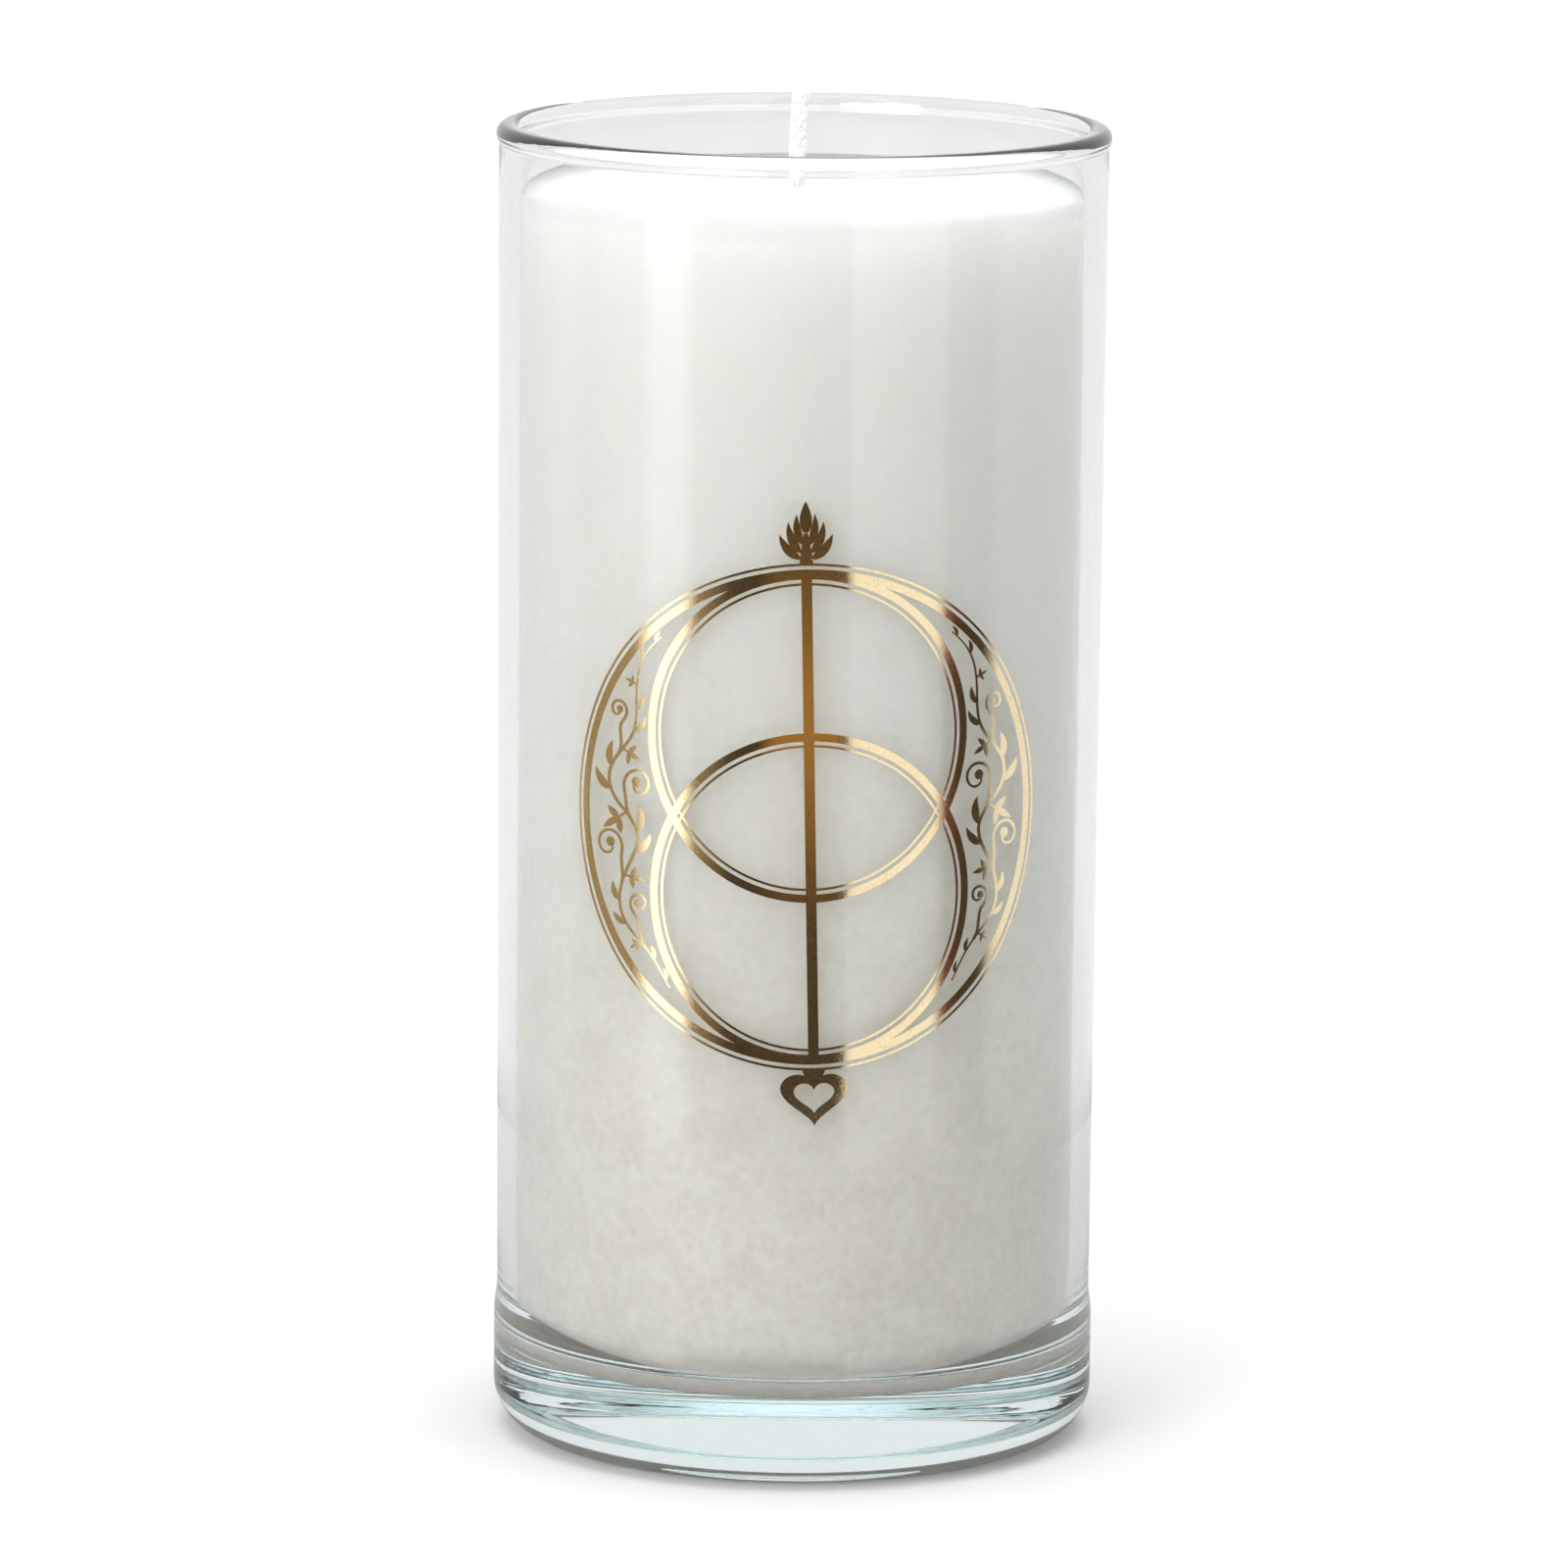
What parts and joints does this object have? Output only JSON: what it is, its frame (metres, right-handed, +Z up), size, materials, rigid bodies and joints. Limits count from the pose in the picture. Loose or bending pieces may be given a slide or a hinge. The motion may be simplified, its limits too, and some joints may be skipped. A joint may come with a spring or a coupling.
{
  "type": "container unity candle",
  "caption": "Poured wax candle in a tall straight heavy-bottomed glass, with a braided wick and a gold linked-rings print on the front.",
  "frame": {"origin": "middle of the foot, on the surface the candle stands on", "axes": "+Z up along the glass's axis; the gold print faces -Y; +X to the right as seen from the print's side"},
  "size_m": [0.0764, 0.0764, 0.169],
  "materials": {
    "clear_glass": "clear soda-lime glass, faint blue-green in the thick bottom, fire polished",
    "white_wax": "white poured paraffin and soy wax, translucent, faintly mottled",
    "waxed_cotton": "braided cotton primed with wax",
    "core_cotton": "stiff twisted cotton core",
    "tinned_steel": "pressed tin-plated steel",
    "foam_sticker": "double-sided foam pad",
    "bright_gold": "fired bright gold print, mirror-like with a slight ripple"
  },
  "bodies": {
    "root": {"glass_vessel": "clear_glass", "wax_fill": "white_wax", "wick_braid": "waxed_cotton", "wick_core": "core_cotton", "wick_sustainer": "tinned_steel", "sustainer_sticker": "foam_sticker", "print_outer_ring": "bright_gold", "print_upper_ring": "bright_gold", "print_lower_ring": "bright_gold", "print_bar": "bright_gold", "print_leaf_finial": "bright_gold", "print_heart_drop": "bright_gold", "print_left_scroll": "bright_gold", "print_right_scroll": "bright_gold"}
  },
  "joints": []
}
